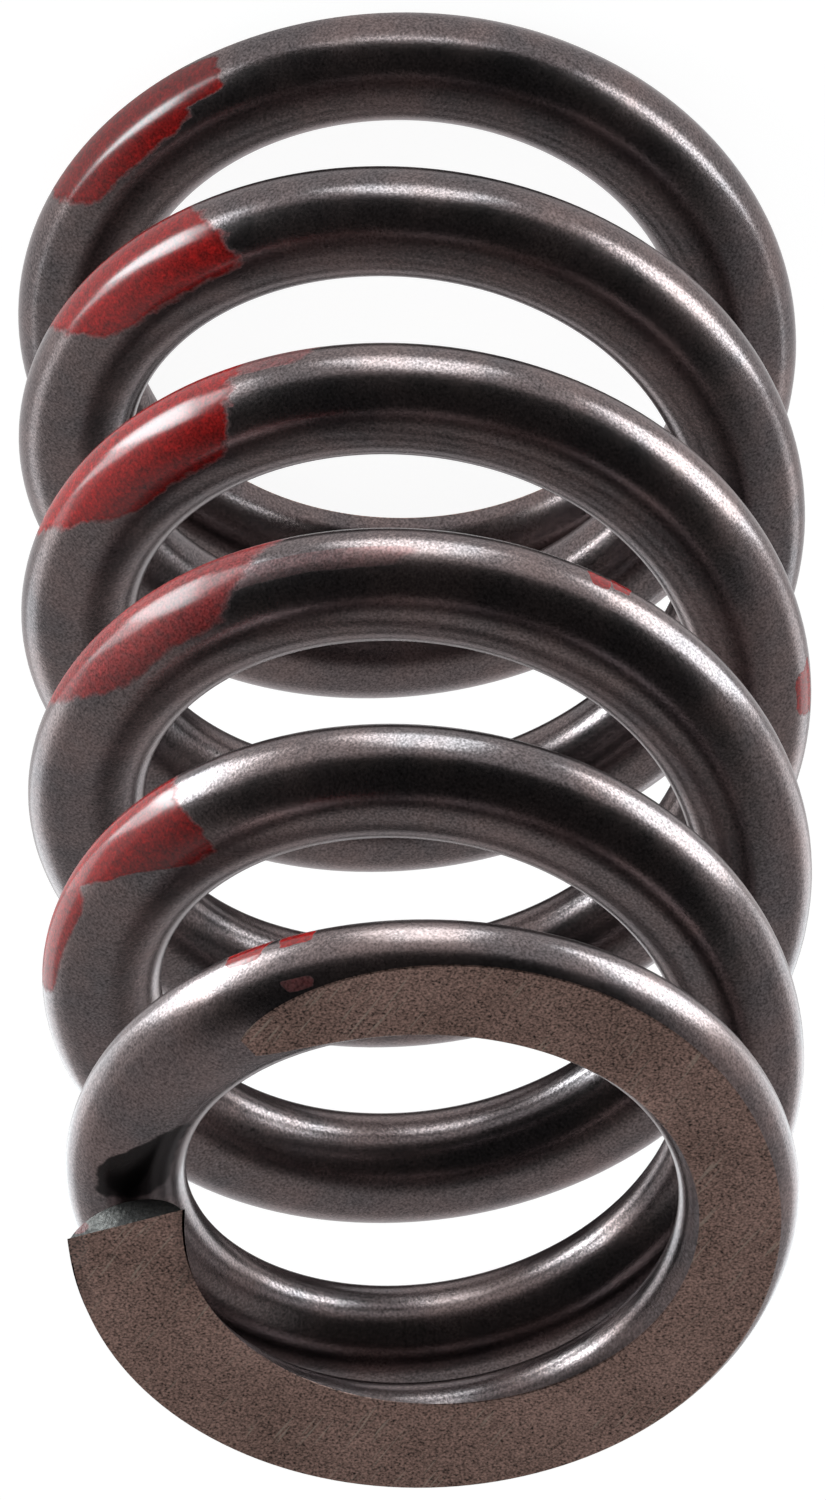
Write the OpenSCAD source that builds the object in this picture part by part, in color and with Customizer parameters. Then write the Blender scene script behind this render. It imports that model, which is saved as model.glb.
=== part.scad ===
// Engine valve spring: one length of oval steel wire, wound left-handed and narrowing to the top.
// It stands on its wide seat end, with the narrow retainer end up.
// Both ends are closed against the next coil and ground flat across the axis.

/* [Wire] */
// Width of the wire across the coil, from inside to outside
wire_w = 4.6; // [3.6:0.05:5.4]
// Height of the wire along the axis of the spring
wire_h = 4; // [3.2:0.05:4.8]

/* [Coils] */
// Length of the free spring between its two ground faces
free_length = 53; // [46:0.5:66]
// Turns of wire from one tip to the other
total_turns = 6.36; // [5.5:0.01:7]
// Outside diameter of the seat end
seat_od = 31; // [28.5:0.1:38]
// Outside diameter of the retainer end
retainer_od = 27.5; // [24:0.1:30]
// Turns at the retainer end that keep its diameter
straight_turns = 1.06; // [0:0.01:1.5]
// How strongly the taper gathers towards the retainer end, where 1 is a plain cone
taper_power = 3.4; // [1:0.1:4]

/* [Closed ends] */
// Share of a turn that lies nearly level at the retainer end before the wire lifts away
retainer_level_turn = 0.74; // [0.6:0.01:0.85]
// Share of a turn in which the wire changes from level to full pitch at the retainer end
retainer_lift_turn = 0.2; // [0.1:0.01:0.3]
// How far the level wire bows away from the ground face of the retainer end, half way round
retainer_bow = 1.3; // [0:0.05:1.6]
// Share of a turn that lies nearly level at the seat end before the wire lifts away
seat_level_turn = 0.68; // [0.6:0.01:0.7]
// Share of a turn in which the wire changes from level to full pitch at the seat end
seat_lift_turn = 0.56; // [0.2:0.01:0.6]
// Gap between a tip and the coil that it closes against
tip_gap = 0.2; // [0.1:0.05:0.6]

/* [Ground faces] */
// Height of wire that grinding leaves at the retainer tip
retainer_tip_t = 1.2; // [0.8:0.05:2.2]
// Height of wire that grinding leaves at the seat tip
seat_tip_t = 1.8; // [0.8:0.05:2.2]
// Slant of the sheared tips across the wire, in degrees
shear_angle = 20; // [0:1:30]

/* [Hidden] */

// The section of the wire is an ellipse with this many sides
section_sides = 20;
// The wire is swept through this many stretches
stretches = 284;
// Angle by which the retainer tip runs on past the +X side
tip_angle = 2.8;
// Share of a turn from the retainer tip within which the level wire bows and comes back
bow_turn = 0.91;

seat_r = (seat_od - wire_w) / 2;
retainer_r = (retainer_od - wire_w) / 2;

// Centre of the wire above the ground plane at the seat tip, and below it at the retainer tip
seat_tip_depth = seat_tip_t - wire_h / 2;
retainer_tip_depth = retainer_tip_t - wire_h / 2;

// The first turn from each tip rises just enough to clear that tip, and the rest share the pitch
first_rise = wire_h + tip_gap;
pitch = (free_length - seat_tip_depth - retainer_tip_depth - 2 * first_rise) / (total_turns - 2);
seat_rise = (first_rise - pitch * (1 - seat_level_turn)) / seat_level_turn;
retainer_rise = (first_rise - pitch * (1 - retainer_level_turn)) / retainer_level_turn;

// Share of full pitch reached t turns from a tip, and the turns at full pitch that it adds up to
function lifting(t, level, lift) = min(max((t - level) / lift + 0.5, 0), 1);
function pitch_share(t, level, lift) =
  let (x = lifting(t, level, lift)) x * x * (3 - 2 * x);
function pitched_turns(t, level, lift) =
  let (x = lifting(t, level, lift))
  lift * (pow(x, 3) - pow(x, 4) / 2) + max(t - level - lift / 2, 0);

function from_seat(t) = pitched_turns(t, seat_level_turn, seat_lift_turn);
function from_retainer(t) = pitched_turns(t, retainer_level_turn, retainer_lift_turn);

// Bow of the level wire t turns from the retainer tip, and how fast it grows per turn
function bow(t) = t < bow_turn ? retainer_bow * pow(sin(180 * t / bow_turn), 2) : 0;
function bow_growth(t) = t < bow_turn ? retainer_bow * PI / bow_turn * sin(360 * t / bow_turn) : 0;

// Height and radius of the wire's centre line t turns up from the seat tip, and its rise per turn
function centre_z(t) =
  let (left = total_turns - t, level_left = retainer_level_turn + t - total_turns)
  seat_tip_depth + seat_rise * t + (pitch - seat_rise) * from_seat(t)
  - (pitch - retainer_rise) * (level_left + from_retainer(left)) - bow(left);
function rise_per_turn(t) =
  let (left = total_turns - t)
  seat_rise + (pitch - seat_rise) * pitch_share(t, seat_level_turn, seat_lift_turn)
  - (pitch - retainer_rise) * (1 - pitch_share(left, retainer_level_turn, retainer_lift_turn))
  + bow_growth(left);
function centre_r(t) =
  let (x = min(t / (total_turns - straight_turns), 1))
  seat_r - (seat_r - retainer_r) * pow(x, taper_power);

// One section of the wire, square to its run, but sheared on a slant at the two tips
function section(i) =
  let (
    t = total_turns * i / stretches,
    // Left-hand winding turns clockwise on its way up, to a retainer tip by the +X side
    a = 360 * (total_turns - t) - tip_angle,
    slope = atan(rise_per_turn(t) / (2 * PI * centre_r(t))),
    out = [cos(a), sin(a), 0],
    along = [sin(a) * cos(slope), -cos(a) * cos(slope), sin(slope)],
    up = [-sin(a) * sin(slope), cos(a) * sin(slope), cos(slope)],
    shear = i == 0 ? tan(shear_angle) : i == stretches ? -tan(shear_angle) : 0
  )
  [for (j = [0 : section_sides - 1])
    let (
      w = 360 * (j + 0.5) / section_sides,
      x = wire_w / 2 * cos(w),
      y = wire_h / 2 * sin(w)
    )
    [0, 0, centre_z(t)] + (centre_r(t) + x) * out + y * up + x * shear * along];

module wire() {
  n = section_sides;
  points = [for (i = [0 : stretches]) each section(i)];
  seat_cap = [[for (j = [0 : n - 1]) j]];
  retainer_cap = [[for (j = [n - 1 : -1 : 0]) stretches * n + j]];
  walls = [for (i = [0 : stretches - 1], j = [0 : n - 1])
    let (a = i * n + j, b = i * n + (j + 1) % n)
    each [[a, a + n, b + n], [a, b + n, b]]];
  polyhedron(points, concat(seat_cap, retainer_cap, walls));
}

// The slab between the two planes that the ends are ground to
module between_ground_faces() {
  side = 2 * max(seat_od, retainer_od);
  translate([-side / 2, -side / 2, 0]) cube([side, side, free_length]);
}

module valve_spring() {
  color("dimgray")
  intersection() {
    wire();
    between_ground_faces();
  }
}

valve_spring();
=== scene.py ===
import bpy
import numpy as np
from mathutils import Matrix, Vector


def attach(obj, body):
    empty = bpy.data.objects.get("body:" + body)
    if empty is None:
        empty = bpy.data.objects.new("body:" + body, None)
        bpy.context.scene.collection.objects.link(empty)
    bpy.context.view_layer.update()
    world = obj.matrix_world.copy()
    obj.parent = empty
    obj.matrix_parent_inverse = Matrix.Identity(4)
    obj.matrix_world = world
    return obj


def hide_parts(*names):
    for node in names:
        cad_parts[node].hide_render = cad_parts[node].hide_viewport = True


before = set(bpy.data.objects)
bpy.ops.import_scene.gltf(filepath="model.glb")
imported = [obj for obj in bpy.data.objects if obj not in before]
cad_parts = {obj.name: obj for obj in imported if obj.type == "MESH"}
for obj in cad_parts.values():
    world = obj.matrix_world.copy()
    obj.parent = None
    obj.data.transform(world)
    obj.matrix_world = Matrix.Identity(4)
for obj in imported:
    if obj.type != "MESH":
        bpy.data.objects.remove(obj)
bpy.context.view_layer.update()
print("frame loaded, nodes:", sorted(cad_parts))

# the spring's own sizes in mm and turns, the same as the solid's, counted in turns up from the seat tip
spring = {
    "wireWidth": 4.6,
    "wireHeight": 4.0,
    "inFacets": 0.982,  # the solid's oval has flat facets, so the true oval is drawn just inside its corners
    "freeLength": 53.0,
    "turns": 6.36,
    "seatOuter": 31.0,
    "retainerOuter": 27.5,
    "straightTurns": 1.06,
    "taperPower": 3.4,
    "retainerLevel": 0.74,
    "retainerLift": 0.2,
    "retainerBow": 1.3,
    "bowTurn": 0.91,
    "tipAngle": 2.8,  # degrees by which the retainer tip runs on past the +X side
    "seatLevel": 0.68,
    "seatLift": 0.56,
    "tipGap": 0.2,
    "retainerTip": 1.2,
    "seatTip": 1.8,
    "shearAngle": 20.0,
    "shearRun": 8.0,  # degrees of turn in which the wire goes over to its slanted tip
    "edgeBreak": 0.045,
    "rings": 1060,
    "sideColumns": 26,
    "faceColumns": 7,
}


def eased(t, level, lift):  # area under a smooth step that is centred on level and lift wide
    x = np.clip((t - level) / lift + 0.5, 0, 1)
    return lift * (x ** 3 - x ** 4 / 2) + np.maximum(t - level - lift / 2, 0)


def centreHeight(t):  # level first turns, then even pitch, then level again, less a sine-squared bow
    s = spring
    seatDepth = s["seatTip"] - s["wireHeight"] / 2
    retainerDepth = s["retainerTip"] - s["wireHeight"] / 2
    firstRise = s["wireHeight"] + s["tipGap"]
    pitch = (s["freeLength"] - seatDepth - retainerDepth - 2 * firstRise) / (s["turns"] - 2)
    seatRise = (firstRise - pitch * (1 - s["seatLevel"])) / s["seatLevel"]
    retainerRise = (firstRise - pitch * (1 - s["retainerLevel"])) / s["retainerLevel"]
    left = s["turns"] - t
    up = seatDepth + seatRise * t + (pitch - seatRise) * eased(t, s["seatLevel"], s["seatLift"])
    held = s["retainerLevel"] - left + eased(left, s["retainerLevel"], s["retainerLift"])
    bow = s["retainerBow"] * np.sin(np.pi * np.clip(left / s["bowTurn"], 0, 1)) ** 2
    return up - (pitch - retainerRise) * held - bow


def centreRadius(t):  # seat radius less a share that grows as a power of the turns
    s = spring
    seatRadius = (s["seatOuter"] - s["wireWidth"]) / 2
    retainerRadius = (s["retainerOuter"] - s["wireWidth"]) / 2
    x = np.minimum(t / (s["turns"] - s["straightTurns"]), 1)
    return seatRadius - (seatRadius - retainerRadius) * x ** s["taperPower"]


def sectionAngles(topAngle, lowAngle):  # outer side, upper face, inner side, lower face, joined by narrow edge breaks
    gap = spring["edgeBreak"] / (spring["wireWidth"] / 2)
    side = np.linspace(0, 1, spring["sideColumns"])
    face = np.linspace(0, 1, spring["faceColumns"])
    spans = [
        (-lowAngle + gap, topAngle - gap, side),
        (topAngle + gap, np.pi - topAngle - gap, face),
        (np.pi - topAngle + gap, np.pi + lowAngle - gap, side),
        (np.pi + lowAngle + gap, 2 * np.pi - lowAngle - gap, face),
    ]
    return np.concatenate([a[:, None] + (b - a)[:, None] * k[None, :] for a, b, k in spans], axis=1)


def wireSurface():  # an oval carried along the helix and held between the two ground planes
    s = spring
    t = np.linspace(0, s["turns"], s["rings"])
    z, r = centreHeight(t), centreRadius(t)
    turn = 2 * np.pi * (s["turns"] - t) - np.radians(s["tipAngle"])
    step = t[1] / 50
    slope = np.arctan2((centreHeight(t + step) - centreHeight(t - step)) / (2 * step), 2 * np.pi * r)
    halfWide = s["wireWidth"] / 2 * s["inFacets"]
    halfHigh = s["wireHeight"] / 2 * s["inFacets"]
    widest = np.pi / 2 - np.radians(3)
    reachUp = (s["freeLength"] - z) / np.cos(slope)
    reachDown = z / np.cos(slope)
    topAngle = np.minimum(np.arcsin(np.clip(reachUp / halfHigh, -1, 1)), widest)
    lowAngle = np.minimum(np.arcsin(np.clip(reachDown / halfHigh, -1, 1)), widest)
    w = sectionAngles(topAngle, lowAngle)
    x = halfWide * np.cos(w)
    y = np.clip(halfHigh * np.sin(w), -reachDown[:, None], reachUp[:, None])
    zero = np.zeros_like(t)
    out = np.stack([np.cos(turn), np.sin(turn), zero], 1)[:, None]
    along = np.stack([np.sin(turn) * np.cos(slope), -np.cos(turn) * np.cos(slope), np.sin(slope)], 1)[:, None]
    up = np.stack([-np.sin(turn) * np.sin(slope), np.cos(turn) * np.sin(slope), np.cos(slope)], 1)[:, None]
    run = s["shearRun"] / 360
    slant = np.clip(1 - t / run, 0, 1) - np.clip(1 - (s["turns"] - t) / run, 0, 1)
    slant = (slant * np.tan(np.radians(s["shearAngle"])))[:, None, None]
    points = (r[:, None] + x)[:, :, None] * out + y[:, :, None] * up + x[:, :, None] * slant * along
    points[:, :, 2] += z[:, None]
    points[:, :, 2] = np.clip(points[:, :, 2], 0, s["freeLength"])
    return points * 0.001, s["turns"] - t, w, topAngle < widest, lowAngle < widest


def springMesh(name):
    points, fromRetainer, w, cutTop, cutLow = wireSurface()
    rings, columns = w.shape
    i, j = np.meshgrid(np.arange(rings - 1), np.arange(columns), indexing="ij")
    k = (j + 1) % columns
    quads = np.stack([i * columns + j, i * columns + k, (i + 1) * columns + k, (i + 1) * columns + j], -1)
    seatTip = np.arange(columns)[::-1]
    retainerTip = (rings - 1) * columns + np.arange(columns)
    mesh = bpy.data.meshes.new(name)
    mesh.from_pydata(points.reshape(-1, 3), [], quads.reshape(-1, 4).tolist() + [seatTip.tolist(), retainerTip.tolist()])
    mesh.update()
    side, face = spring["sideColumns"], spring["faceColumns"]
    onTop = (j >= side - 1) & (j < side + face) & cutTop[:-1, None] & cutTop[1:, None]
    onLow = (j >= 2 * side + face - 1) & cutLow[:-1, None] & cutLow[1:, None]
    finish = np.concatenate([np.where(onTop | onLow, 1, 0).ravel(), [2, 2]])
    mesh.polygons.foreach_set("material_index", finish.astype(np.int32))
    mesh.polygons.foreach_set("use_smooth", np.append(np.ones(finish.size - 2, bool), [False, False]))
    turnsAt = np.broadcast_to(fromRetainer[:, None], w.shape)
    around = np.concatenate([w, w[:, :1] + 2 * np.pi], 1) / (2 * np.pi)  # the last column meets the first one turn on
    wall = np.stack([turnsAt[i, j], around[i, j], turnsAt[i, j], around[i, j + 1],
                     turnsAt[i + 1, j], around[i + 1, j + 1], turnsAt[i + 1, j], around[i + 1, j]], -1)
    tips = [np.stack([turnsAt[0, ::-1], w[0, ::-1] / (2 * np.pi)], -1).ravel(),
            np.stack([turnsAt[-1], w[-1] / (2 * np.pi)], -1).ravel()]
    uv = mesh.uv_layers.new(name="alongWire")
    uv.data.foreach_set("uv", np.concatenate([wall.ravel()] + tips).astype(np.float32))
    pair = np.zeros(len(mesh.edges) * 2, np.int32)
    mesh.edges.foreach_get("vertices", pair)
    a, b = pair.reshape(-1, 2).T
    ringA, ringB, column = a // columns, b // columns, a % columns
    lengthwise = (ringA != ringB) & (column == b % columns)
    topEdge = np.isin(column, [side - 1, side, side + face - 1, side + face]) & cutTop[ringA] & cutTop[ringB]
    lowEdge = np.isin(column, [0, 2 * side + face - 1, 2 * side + face, columns - 1]) & cutLow[ringA] & cutLow[ringB]
    tipEdge = (ringA == ringB) & ((ringA == 0) | (ringA == rings - 1))
    sharp = mesh.attributes.new("sharp_edge", "BOOLEAN", "EDGE")
    sharp.data.foreach_set("value", (lengthwise & (topEdge | lowEdge)) | tipEdge)
    return mesh


wire = bpy.data.objects.new("springWire", springMesh("springWire"))
bpy.context.scene.collection.objects.link(wire)
print("spring wire made:", len(wire.data.polygons), "faces")


def node(tree, kind, x=0, y=0, **values):
    made = tree.nodes.new(kind)
    made.location = (x, y)
    for key, value in values.items():
        setattr(made, key, value)
    return made


def math(tree, how, a, b=None, clamp=False):  # one sum of two values or sockets
    made = node(tree, "ShaderNodeMath", operation=how, use_clamp=clamp)
    for socket, value in zip(made.inputs, (a, b)):
        if value is None:
            continue
        if isinstance(value, (int, float)):
            socket.default_value = value
        else:
            tree.links.new(value, socket)
    return made.outputs[0]


def mapRange(tree, value, fromLow, fromHigh, toLow, toHigh, smooth=False, held=True):
    made = node(tree, "ShaderNodeMapRange", clamp=held, interpolation_type="SMOOTHSTEP" if smooth else "LINEAR")
    tree.links.new(value, made.inputs["Value"])
    for name, number in zip(("From Min", "From Max", "To Min", "To Max"), (fromLow, fromHigh, toLow, toHigh)):
        if isinstance(number, (int, float)):
            made.inputs[name].default_value = number
        else:
            tree.links.new(number, made.inputs[name])
    return made.outputs["Result"]


def noise(tree, vector, scale, detail=2.0, rough=0.5):
    made = node(tree, "ShaderNodeTexNoise")
    made.inputs["Scale"].default_value = scale
    made.inputs["Detail"].default_value = detail
    made.inputs["Roughness"].default_value = rough
    tree.links.new(vector, made.inputs["Vector"])
    return made.outputs["Fac"]


def mixColours(tree, share, first, second, how="MIX"):
    made = node(tree, "ShaderNodeMix", data_type="RGBA", blend_type=how)
    sockets = [s for s in made.inputs if s.type == "RGBA"]
    factor = next(s for s in made.inputs if s.name == "Factor" and s.type == "VALUE")
    for socket, value in ((factor, share), (sockets[0], first), (sockets[1], second)):
        if isinstance(value, (int, float)):
            socket.default_value = value
        elif isinstance(value, tuple):
            socket.default_value = (*value, 1.0)
        else:
            tree.links.new(value, socket)
    return next(s for s in made.outputs if s.type == "RGBA")


def newGroup(name, inputs, outputs):
    group = bpy.data.node_groups.new(name, "ShaderNodeTree")
    for label, kind, start in inputs:
        socket = group.interface.new_socket(name=label, in_out="INPUT", socket_type=kind)
        if start is not None:
            socket.default_value = start
    for label, kind in outputs:
        group.interface.new_socket(name=label, in_out="OUTPUT", socket_type=kind)
    return group, node(group, "NodeGroupInput", -900), node(group, "NodeGroupOutput", 900)


def useGroup(tree, group, **values):
    made = node(tree, "ShaderNodeGroup", node_tree=group)
    for key, value in values.items():
        if isinstance(value, (int, float)):
            made.inputs[key].default_value = value
        else:
            tree.links.new(value, made.inputs[key])
    return made


# grain of blasted or ground steel: light and dark specks over slow clouds, and a height for the bump
def grainGroup():
    group, given, put = newGroup(
        "steelGrain",
        [("Place", "NodeSocketVector", None), ("SpeckScale", "NodeSocketFloat", 9000.0),
         ("SpeckDepth", "NodeSocketFloat", 0.3), ("CloudDepth", "NodeSocketFloat", 0.2)],
        [("Shade", "NodeSocketFloat"), ("Cloud", "NodeSocketFloat"), ("Height", "NodeSocketFloat")])
    askew = node(group, "ShaderNodeMapping")  # so that no flat face lies along the noise's own grid
    askew.inputs["Rotation"].default_value = (0.6, 0.5, 0.4)
    group.links.new(given.outputs["Place"], askew.inputs["Vector"])
    speck = node(group, "ShaderNodeTexNoise")
    speck.inputs["Detail"].default_value = 1.5
    group.links.new(askew.outputs["Vector"], speck.inputs["Vector"])
    group.links.new(given.outputs["SpeckScale"], speck.inputs["Scale"])
    speckValue = speck.outputs["Fac"]
    cloud = noise(group, given.outputs["Place"], 260, 3.0, 0.6)
    speckPart = math(group, "MULTIPLY", math(group, "SUBTRACT", speckValue, 0.5), given.outputs["SpeckDepth"])
    cloudPart = math(group, "MULTIPLY", math(group, "SUBTRACT", cloud, 0.5), given.outputs["CloudDepth"])
    shade = math(group, "ADD", math(group, "ADD", speckPart, cloudPart), 1.0)
    group.links.new(shade, put.inputs["Shade"])
    group.links.new(cloud, put.inputs["Cloud"])
    group.links.new(speckValue, put.inputs["Height"])
    return group


# one brushed dab of paint, a four-sided patch on (turn, angle): its two ends lean, so that each runs straight from
# its place at the low angle to its place at the top angle, and ragged noise moves the rim, most in a short dab
def dabGroup():
    group, given, put = newGroup(
        "paintDab",
        [("Wire", "NodeSocketVector", None), ("Ragged", "NodeSocketFloat", None),
         ("StartLow", "NodeSocketFloat", 0.0), ("StartTop", "NodeSocketFloat", 0.0),
         ("EndLow", "NodeSocketFloat", 0.1), ("EndTop", "NodeSocketFloat", 0.1),
         ("Low", "NodeSocketFloat", 0.0), ("Top", "NodeSocketFloat", 0.1), ("Cover", "NodeSocketFloat", 1.0)],
        [("Mask", "NodeSocketFloat")])
    place = given.outputs
    split = node(group, "ShaderNodeSeparateXYZ")
    group.links.new(place["Wire"], split.inputs[0])
    climb = mapRange(group, split.outputs["Y"], place["Low"], place["Top"], 0.0, 1.0)
    start = mapRange(group, climb, 0.0, 1.0, place["StartLow"], place["StartTop"])
    end = mapRange(group, climb, 0.0, 1.0, place["EndLow"], place["EndTop"])
    along = mapRange(group, split.outputs["X"], start, end, -1.0, 1.0, held=False)
    across = mapRange(group, split.outputs["Y"], place["Low"], place["Top"], -1.0, 1.0, held=False)
    sixths = [math(group, "POWER", math(group, "ABSOLUTE", value), 6.0) for value in (along, across)]
    long = math(group, "SUBTRACT", place["EndLow"], place["StartLow"])
    torn = math(group, "MULTIPLY", place["Ragged"], mapRange(group, long, 0.015, 0.07, 3.0, 1.0))
    rim = math(group, "ADD", math(group, "POWER", math(group, "ADD", *sixths), 1 / 6), torn)
    mask = mapRange(group, rim, 1.06, 0.91, 0.0, 1.0, smooth=True)
    group.links.new(math(group, "MULTIPLY", mask, place["Cover"]), put.inputs["Mask"])
    return group


steelGrain = grainGroup()
paintDab = dabGroup()

# red identification paint; each dab: start and end in turns from the retainer tip, at its low and at its top angle,
# then its low and top section angle in degrees, and how well it covers
paint = {
    "colour": (0.255, 0.0070, 0.0065),
    "thin": (0.105, 0.0055, 0.0055),
    "roughness": 0.42,
    "dabs": [
        (5.835, 5.833, 5.890, 5.880, -8, 44, 1.0),
        (5.850, 5.852, 5.943, 5.922, -50, 62, 1.0),
        (4.856, 4.825, 4.953, 4.907, -50, 79, 1.0),
        (3.822, 3.840, 3.984, 3.906, -50, 85, 1.0),
        (3.790, 3.800, 3.850, 3.845, -50, 2, 0.35),
        (2.806, 2.842, 2.979, 2.912, -50, 63, 0.62),
        (2.755, 2.762, 2.850, 2.850, 10, 34, 0.15),
        (1.873, 1.858, 1.998, 1.880, -50, 85, 1.0),
        (1.925, 1.935, 2.012, 1.998, -30, 40, 0.75),
        (0.806, 0.808, 0.824, 0.822, -32, -4, 0.8),
        (0.827, 0.832, 0.853, 0.846, -40, 3, 0.95),
        (0.808, 0.808, 0.823, 0.820, 36, 49, 0.4),
        (2.664, 2.667, 2.676, 2.674, -30, -4, 1.0),
        (2.675, 2.676, 2.686, 2.683, -20, 4, 1.0),
        (3.500, 3.503, 3.526, 3.522, 12, 44, 0.9),
    ],
}


def paintMask(tree, wirePlace, place):  # the strongest of all dabs, with brushed ends and worn specks
    wide = node(tree, "ShaderNodeMapping")
    wide.inputs["Scale"].default_value = (34, 22, 1)
    tree.links.new(wirePlace, wide.inputs["Vector"])
    streak = noise(tree, wide.outputs["Vector"], 1.0, 2.0)
    torn = noise(tree, place, 2200, 3.0, 0.6)
    ragged = math(tree, "ADD", math(tree, "MULTIPLY", math(tree, "SUBTRACT", streak, 0.5), 0.26),
                  math(tree, "MULTIPLY", math(tree, "SUBTRACT", torn, 0.5), 0.16))
    mask = None
    for startLow, startTop, endLow, endTop, low, top, cover in paint["dabs"]:
        dab = useGroup(tree, paintDab, Wire=wirePlace, Ragged=ragged, StartLow=startLow, StartTop=startTop,
                       EndLow=endLow, EndTop=endTop, Low=low / 360, Top=top / 360, Cover=cover).outputs["Mask"]
        mask = dab if mask is None else math(tree, "MAXIMUM", mask, dab)
    worn = mapRange(tree, noise(tree, place, 5200, 2.0), 0.24, 0.34, 0.8, 1.0, smooth=True)
    return math(tree, "MULTIPLY", mask, worn)


steel = {
    "warm": (0.158, 0.120, 0.117),
    "cool": (0.124, 0.108, 0.111),
    "edge": (0.90, 0.88, 0.89),  # tint of the gloss at a glance, which blasting and oxide dull
    "roughness": 0.24,
    "bump": 0.15,
    # this entry paints the shadow that the retainer tip casts on the coil beneath, as a near-black patch laid out like
    # a dab
    "paintedTipShadow": (0.976, 0.916, 0.997, 0.994, 58, 134, 0.95),  # black corner under the retainer tip, laid out like a dab
}


def newMaterial(name):
    made = bpy.data.materials.new(name)
    made.use_nodes = True
    tree = made.node_tree
    shader = next(n for n in tree.nodes if n.type == "BSDF_PRINCIPLED")
    return made, tree, shader


def bump(tree, shader, height, strength, distance):
    made = node(tree, "ShaderNodeBump")
    made.inputs["Strength"].default_value = strength
    made.inputs["Distance"].default_value = distance
    tree.links.new(height, made.inputs["Height"])
    tree.links.new(made.outputs["Normal"], shader.inputs["Normal"])


def springSteel():  # dark satin steel, warm in its clouds, with the paint laid over it
    made, tree, shader = newMaterial("springSteel")
    place = node(tree, "ShaderNodeTexCoord").outputs["Object"]
    wirePlace = node(tree, "ShaderNodeUVMap", uv_map="alongWire").outputs["UV"]
    grain = useGroup(tree, steelGrain, Place=place, SpeckScale=10000.0, SpeckDepth=2.1, CloudDepth=0.5)
    tone = mixColours(tree, mapRange(tree, grain.outputs["Cloud"], 0.35, 0.65, 0.0, 1.0), steel["cool"], steel["warm"])
    bare = mixColours(tree, 1.0, tone, grain.outputs["Shade"], "MULTIPLY")
    mask = paintMask(tree, wirePlace, place)
    thickness = mapRange(tree, noise(tree, place, 3600, 2.0, 0.6), 0.25, 0.70, 0.0, 1.0)
    red = mixColours(tree, 1.0, mixColours(tree, thickness, paint["thin"], paint["colour"]), grain.outputs["Shade"], "MULTIPLY")
    # painted shadow of the retainer tip, laid near-black over the bare steel
    startLow, startTop, endLow, endTop, low, top, cover = steel["paintedTipShadow"]
    shadowRaggedEdge = math(tree, "MULTIPLY", math(tree, "SUBTRACT", noise(tree, place, 1400, 3.0), 0.5), 0.18)
    paintedTipShadow = useGroup(tree, paintDab, Wire=wirePlace, Ragged=shadowRaggedEdge, StartLow=startLow, StartTop=startTop, EndLow=endLow,
                     EndTop=endTop, Low=low / 360, Top=top / 360, Cover=cover).outputs["Mask"]
    bareWithPaintedShadow = mixColours(tree, paintedTipShadow, bare, (0.012, 0.011, 0.011))
    tinted = mapRange(tree, mask, 0.0, 0.8, 0.0, 1.0)  # thin paint still tints all that it covers
    tree.links.new(mixColours(tree, tinted, bareWithPaintedShadow, red), shader.inputs["Base Color"])
    tree.links.new(mapRange(tree, mask, 0.0, 0.6, 1.0, 0.0), shader.inputs["Metallic"])
    satin = mapRange(tree, grain.outputs["Cloud"], 0.3, 0.7, steel["roughness"] - 0.03, steel["roughness"] + 0.05)
    tree.links.new(mapRange(tree, mask, 0.0, 1.0, satin, paint["roughness"]), shader.inputs["Roughness"])
    tree.links.new(math(tree, "MULTIPLY", mask, 0.52), shader.inputs["Coat Weight"])
    shader.inputs["Coat Roughness"].default_value = 0.19
    shader.inputs["Coat IOR"].default_value = 1.8
    shader.inputs["Specular IOR Level"].default_value = 0.0
    shader.inputs["Specular Tint"].default_value = (*steel["edge"], 1)
    bump(tree, shader, grain.outputs["Height"], steel["bump"], 0.00002)
    return made


groundFace = {
    "light": (0.268, 0.172, 0.146),
    "dark": (0.200, 0.124, 0.102),
    "roughness": 0.46,
    "scratchTurn": 1.0,
}


def groundSteel(name):  # matt ground end: brown, speckled, with fine crossing scratches
    made, tree, shader = newMaterial(name)
    place = node(tree, "ShaderNodeTexCoord").outputs["Object"]
    grain = useGroup(tree, steelGrain, Place=place, SpeckScale=10000.0, SpeckDepth=3.8, CloudDepth=0.55)
    turned = node(tree, "ShaderNodeMapping", vector_type="TEXTURE")
    turned.inputs["Rotation"].default_value = (0, 0, groundFace["scratchTurn"])
    turned.inputs["Scale"].default_value = (0.0022, 0.00011, 1)
    tree.links.new(place, turned.inputs["Vector"])
    scratch = mapRange(tree, noise(tree, turned.outputs["Vector"], 1.0, 0.0), 0.64, 0.74, 0.0, 1.0, smooth=True)
    patchy = mapRange(tree, noise(tree, place, 320, 2.0), 0.46, 0.62, 0.05, 0.5, smooth=True)
    tone = mixColours(tree, mapRange(tree, grain.outputs["Cloud"], 0.3, 0.7, 0.2, 1.0),
                      groundFace["dark"], groundFace["light"])
    speckled = mixColours(tree, 1.0, tone, grain.outputs["Shade"], "MULTIPLY")
    lined = mixColours(tree, math(tree, "MULTIPLY", scratch, patchy), speckled, (0.40, 0.33, 0.27))
    tree.links.new(lined, shader.inputs["Base Color"])
    shader.inputs["Metallic"].default_value = 0.85
    tree.links.new(mapRange(tree, grain.outputs["Height"], 0.3, 0.7, groundFace["roughness"] - 0.06, groundFace["roughness"] + 0.06),
                   shader.inputs["Roughness"])
    bump(tree, shader, math(tree, "SUBTRACT", grain.outputs["Height"], math(tree, "MULTIPLY", scratch, 0.5)), 0.4, 0.00003)
    return made


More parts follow.
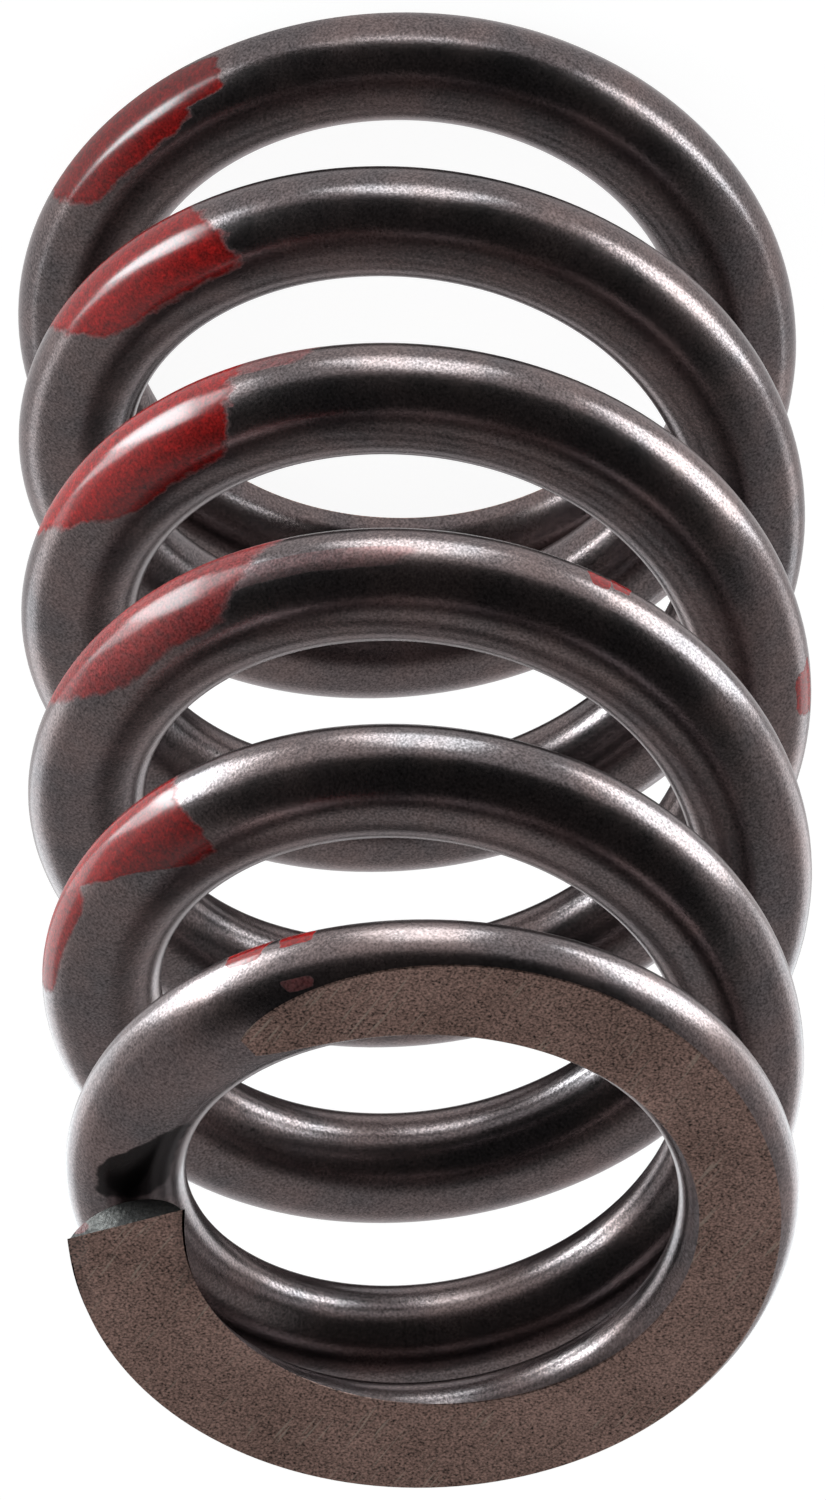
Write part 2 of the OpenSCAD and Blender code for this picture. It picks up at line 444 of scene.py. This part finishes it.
shearedTip = {
    # the dark scale colour is partly the cut's own oxide and partly painted shade on the cut face
    "scale": (0.024, 0.021, 0.020),
    # the bright colour and its spot are partly rubbed wear and partly painted light on the lit part of the cut
    "rubbedAndLit": (0.062, 0.057, 0.054),
    "rubbedAndLitSpot": (0.01235, -0.00028, 0.0523, 0.0008),  # middle and radius of the rubbed patch
    "redSpot": (0.01312, -0.00003, 0.0526, 0.00030),
}


def spot(tree, place, middle, torn):  # distance from its middle over its radius, broken up by noise
    away = node(tree, "ShaderNodeVectorMath", operation="DISTANCE")
    tree.links.new(place, away.inputs[0])
    away.inputs[1].default_value = middle[:3]
    reach = math(tree, "ADD", math(tree, "DIVIDE", away.outputs["Value"], middle[3]), torn)
    return mapRange(tree, reach, 1.15, 0.75, 0.0, 1.0, smooth=True)


def shearedSteel():  # dark scaly cut, whose dark also paints the shade on the cut face, rubbed bright near its outer corner, where the bright patch also paints the lit part of the cut, with a fleck of the paint
    made, tree, shader = newMaterial("shearedTipSteel")
    place = node(tree, "ShaderNodeTexCoord").outputs["Object"]
    grain = useGroup(tree, steelGrain, Place=place, SpeckScale=7000.0, SpeckDepth=2.4, CloudDepth=0.6)
    torn = math(tree, "MULTIPLY", math(tree, "SUBTRACT", noise(tree, place, 3000, 3.0), 0.5), 0.8)
    rubbedAndLitCut = mixColours(tree, spot(tree, place, shearedTip["rubbedAndLitSpot"], torn), shearedTip["scale"], shearedTip["rubbedAndLit"])
    speckled = mixColours(tree, 1.0, rubbedAndLitCut, grain.outputs["Shade"], "MULTIPLY")
    red = spot(tree, place, shearedTip["redSpot"], torn)
    tree.links.new(mixColours(tree, red, speckled, paint["thin"]), shader.inputs["Base Color"])
    tree.links.new(mapRange(tree, red, 0.0, 1.0, 0.7, 0.0), shader.inputs["Metallic"])
    shader.inputs["Roughness"].default_value = 0.5
    bump(tree, shader, grain.outputs["Height"], 0.5, 0.00004)
    return made


for finish in (springSteel(), groundSteel("groundFaceSteel"), shearedSteel()):
    wire.data.materials.append(finish)
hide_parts("valve_spring")
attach(wire, "root")
print("finishes on:", [m.name for m in wire.data.materials])

# plain white floor; camera and gloss rays see most of its white as its own, so only the object's soft shadow dims it
floorSizes = {"half": 4.0, "colour": 0.26, "glow": 0.92}


def studioFloor():
    half = floorSizes["half"]
    mesh = bpy.data.meshes.new("studioFloor")
    mesh.from_pydata([(-half, -half, 0), (half, -half, 0), (half, half, 0), (-half, half, 0)], [], [(0, 1, 2, 3)])
    made, tree, shader = newMaterial("floorWhite")
    shader.inputs["Base Color"].default_value = (floorSizes["colour"],) * 3 + (1,)
    shader.inputs["Roughness"].default_value = 0.9
    shader.inputs["Specular IOR Level"].default_value = 0.0
    path = node(tree, "ShaderNodeLightPath")
    seen = math(tree, "MAXIMUM", math(tree, "MAXIMUM", path.outputs["Is Camera Ray"], path.outputs["Is Glossy Ray"]),
                path.outputs["Is Transmission Ray"])
    shader.inputs["Emission Color"].default_value = (1, 1, 1, 1)
    tree.links.new(math(tree, "MULTIPLY", seen, floorSizes["glow"]), shader.inputs["Emission Strength"])
    mesh.materials.append(made)
    floor = bpy.data.objects.new("studioFloor", mesh)
    bpy.context.scene.collection.objects.link(floor)
    return floor


studioFloor()

# an even grey studio with one dark side, up and to the front, and a white band along the horizon
sky = {"grey": 0.60, "dark": 0.04, "darkSide": (0, -0.66, 0.75), "darkFrom": 0.27, "darkTo": 0.60}


def studioWorld():  # how far a direction leans to the dark side sets its brightness
    world = bpy.data.worlds.new("studioWorld")
    bpy.context.scene.world = world
    world.use_nodes = True
    tree = world.node_tree
    background = next(n for n in tree.nodes if n.type == "BACKGROUND")
    direction = node(tree, "ShaderNodeTexCoord").outputs["Generated"]
    lean = node(tree, "ShaderNodeVectorMath", operation="DOT_PRODUCT")
    lean.inputs[1].default_value = sky["darkSide"]
    tree.links.new(direction, lean.inputs[0])
    dome = mapRange(tree, lean.outputs["Value"], sky["darkFrom"], sky["darkTo"], sky["grey"], sky["dark"], smooth=True)
    split = node(tree, "ShaderNodeSeparateXYZ")
    tree.links.new(direction, split.inputs[0])
    horizon = mapRange(tree, split.outputs["Z"], 0.05, 0.12, 1.0, 0.0, smooth=True)
    tree.links.new(math(tree, "MAXIMUM", dome, horizon), background.inputs["Strength"])
    background.inputs["Color"].default_value = (1, 1, 1, 1)


studioWorld()

# soft panels rise from the floor round the spring, like cards laid against books: name, azimuth, nearest and
# furthest reach from the axis, height of its foot, rise, width, radiance
panels = [
    ("panelLeft", -27, 0.052, 0.120, 0.002, 0.020, 0.054, 6.5),
    ("panelLeftCore", -28, 0.041, 0.140, 0.003, 0.040, 0.018, 13.5),
    ("panelFront", -90, 0.040, 0.110, 0.002, 0.012, 0.031, 6.3),
    ("panelRight", -154, 0.050, 0.130, 0.002, 0.030, 0.050, 8.5),
    ("panelBackLeft", 34, 0.046, 0.120, 0.002, 0.012, 0.090, 1.8),
    ("panelBackRight", 145, 0.050, 0.120, 0.002, 0.012, 0.085, 1.8),
]


def softPanel(name, azimuth, near, far, foot, rise, width, radiance):
    lamp = bpy.data.lights.new(name, "AREA")
    lamp.shape = "RECTANGLE"
    slope = np.hypot(far - near, rise)
    lamp.size, lamp.size_y = width, slope
    lamp.energy = radiance * np.pi * width * slope  # an even panel gives its radiance times pi and its area
    lamp.color = (0.86, 0.98, 1.0)  # a little cool, as daylight is beside the warm steel
    outward = Vector((np.cos(np.radians(azimuth)), np.sin(np.radians(azimuth)), 0))
    climb = (outward * (far - near) + Vector((0, 0, rise))).normalized()
    shine = (Vector((0, 0, far - near)) - outward * rise).normalized()
    turn = Matrix((climb.cross(-shine), climb, -shine)).transposed().to_4x4()
    middle = outward * (near + far) / 2 + Vector((0, 0, foot + rise / 2))
    made = bpy.data.objects.new(name, lamp)
    made.matrix_world = Matrix.Translation(middle) @ turn
    made.visible_camera = False
    bpy.context.scene.collection.objects.link(made)


for panel in panels:
    softPanel(*panel)

overhead = {"height": 0.9, "across": 0.8, "radiance": 0.4}  # lights the floor and the paint, kept out of the gloss


def overheadLamp():
    lamp = bpy.data.lights.new("overheadLamp", "AREA")
    lamp.shape = "DISK"
    lamp.size = overhead["across"]
    lamp.energy = overhead["radiance"] * np.pi * np.pi * overhead["across"] ** 2 / 4
    made = bpy.data.objects.new("overheadLamp", lamp)
    made.matrix_world = Matrix.Translation((0, 0, overhead["height"]))
    made.visible_camera = False
    made.visible_glossy = False
    bpy.context.scene.collection.objects.link(made)


overheadLamp()
print("studio set:", len(panels), "panels and the overhead lamp")

# the photograph looks down on the retainer end, with the spring's foot towards the top of the picture
view = {
    "aimHeight": 0.0231,
    "elevation": 48.445,
    "distance": 0.5962,
    "roll": -1.70,
    "focalPixels": 15394,
    "across": 4.56,  # pixels by which the aim lies right of the middle, and below it
    "down": -55.40,
    "picture": 1500,
    "sensor": 36.0,
}


def photoCamera():
    data = bpy.data.cameras.new("photoCamera")
    data.sensor_width = view["sensor"]
    data.lens = view["focalPixels"] * view["sensor"] / view["picture"]
    data.shift_x = -view["across"] / view["picture"]
    data.shift_y = view["down"] / view["picture"]
    data.clip_start, data.clip_end = 0.01, 20.0
    tilt = np.radians(view["elevation"])
    towards = Vector((0, -np.cos(tilt), np.sin(tilt)))
    up = Vector((0, -np.sin(tilt), -np.cos(tilt)))
    right = up.cross(towards)
    turn = Matrix((right, up, towards)).transposed().to_4x4() @ Matrix.Rotation(np.radians(view["roll"]), 4, "Z")
    made = bpy.data.objects.new("photoCamera", data)
    made.matrix_world = Matrix.Translation(Vector((0, 0, view["aimHeight"])) + towards * view["distance"]) @ turn
    bpy.context.scene.collection.objects.link(made)
    bpy.context.scene.camera = made


photoCamera()
bpy.context.scene.view_settings.view_transform = "Standard"
